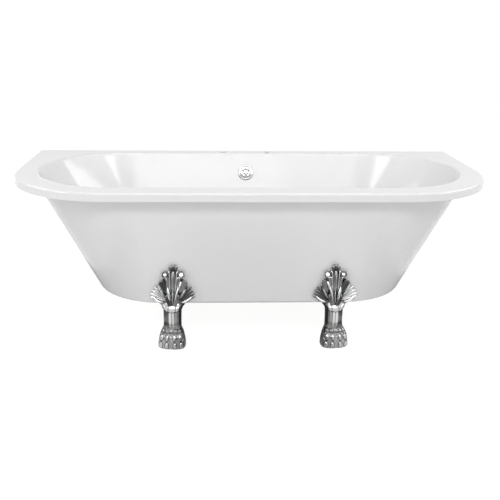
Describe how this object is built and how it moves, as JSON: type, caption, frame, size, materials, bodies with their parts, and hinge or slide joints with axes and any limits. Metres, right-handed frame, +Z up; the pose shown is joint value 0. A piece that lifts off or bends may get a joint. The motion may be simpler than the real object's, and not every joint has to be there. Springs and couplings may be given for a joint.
{
  "type": "back-to-wall bathtub",
  "caption": "Double-ended back-to-wall bathtub with a flat D-shaped rim, sloping skirt, push-plug waste, overflow and chrome claw feet.",
  "frame": {"origin": "on the floor, under the middle of the bath's length and depth", "axes": "+X along the wall to the right, +Y towards the wall, +Z up"},
  "size_m": [1.7, 0.75, 0.565],
  "materials": {
    "white_acrylic": "gloss",
    "chrome_casting": "polished",
    "chrome_trim": "polished",
    "board": "resin coated",
    "softwood": "planed",
    "zinc_steel": "zinc plated",
    "pad_plastic": "moulded",
    "spacer_plastic": "moulded",
    "rubber_seal": "matte",
    "white_fitting": "moulded",
    "grey_hose": "moulded",
    "brass_stem": "turned"
  },
  "bodies": {
    "bath": {"bath_shell": "white_acrylic", "outer_skirt": "white_acrylic", "foot_front_left": "chrome_casting", "foot_front_right": "chrome_casting", "foot_rear_left": "chrome_casting", "foot_rear_right": "chrome_casting", "overflow_rose": "chrome_trim", "overflow_screw": "chrome_trim", "waste_flange": "chrome_trim", "base_board_left": "board", "base_board_right": "board", "rim_batten_left": "softwood", "rim_batten_right": "softwood", "foot_bolts": "zinc_steel", "foot_washers": "zinc_steel", "foot_nuts": "zinc_steel", "leveller_nuts": "zinc_steel", "rear_spacers": "spacer_plastic", "overflow_gasket": "rubber_seal", "waste_gasket": "rubber_seal", "waste_seal": "rubber_seal", "overflow_elbow": "white_fitting", "hose_nuts": "white_fitting", "waste_body": "white_fitting", "overflow_hose": "grey_hose"},
    "plug": {"plug_cap": "chrome_trim", "plug_seal": "rubber_seal", "plug_stem": "brass_stem"},
    "front_left_leveller": {"leveller_front_left": "zinc_steel", "leveller_pad_front_left": "pad_plastic"},
    "front_right_leveller": {"leveller_front_right": "zinc_steel", "leveller_pad_front_right": "pad_plastic"},
    "rear_left_leveller": {"leveller_rear_left": "zinc_steel", "leveller_pad_rear_left": "pad_plastic"},
    "rear_right_leveller": {"leveller_rear_right": "zinc_steel", "leveller_pad_rear_right": "pad_plastic"}
  },
  "joints": [
    {"name": "plug_lift", "type": "slide", "parent": "bath", "child": "plug", "axis": [0, 0, 1], "range_m": [0, 0.01]},
    {"name": "front_left_levelling", "type": "slide", "parent": "bath", "child": "front_left_leveller", "axis": [0, 0, -1], "range_m": [0, 0.012]},
    {"name": "front_right_levelling", "type": "slide", "parent": "bath", "child": "front_right_leveller", "axis": [0, 0, -1], "range_m": [0, 0.012]},
    {"name": "rear_left_levelling", "type": "slide", "parent": "bath", "child": "rear_left_leveller", "axis": [0, 0, -1], "range_m": [0, 0.012]},
    {"name": "rear_right_levelling", "type": "slide", "parent": "bath", "child": "rear_right_leveller", "axis": [0, 0, -1], "range_m": [0, 0.012]}
  ]
}
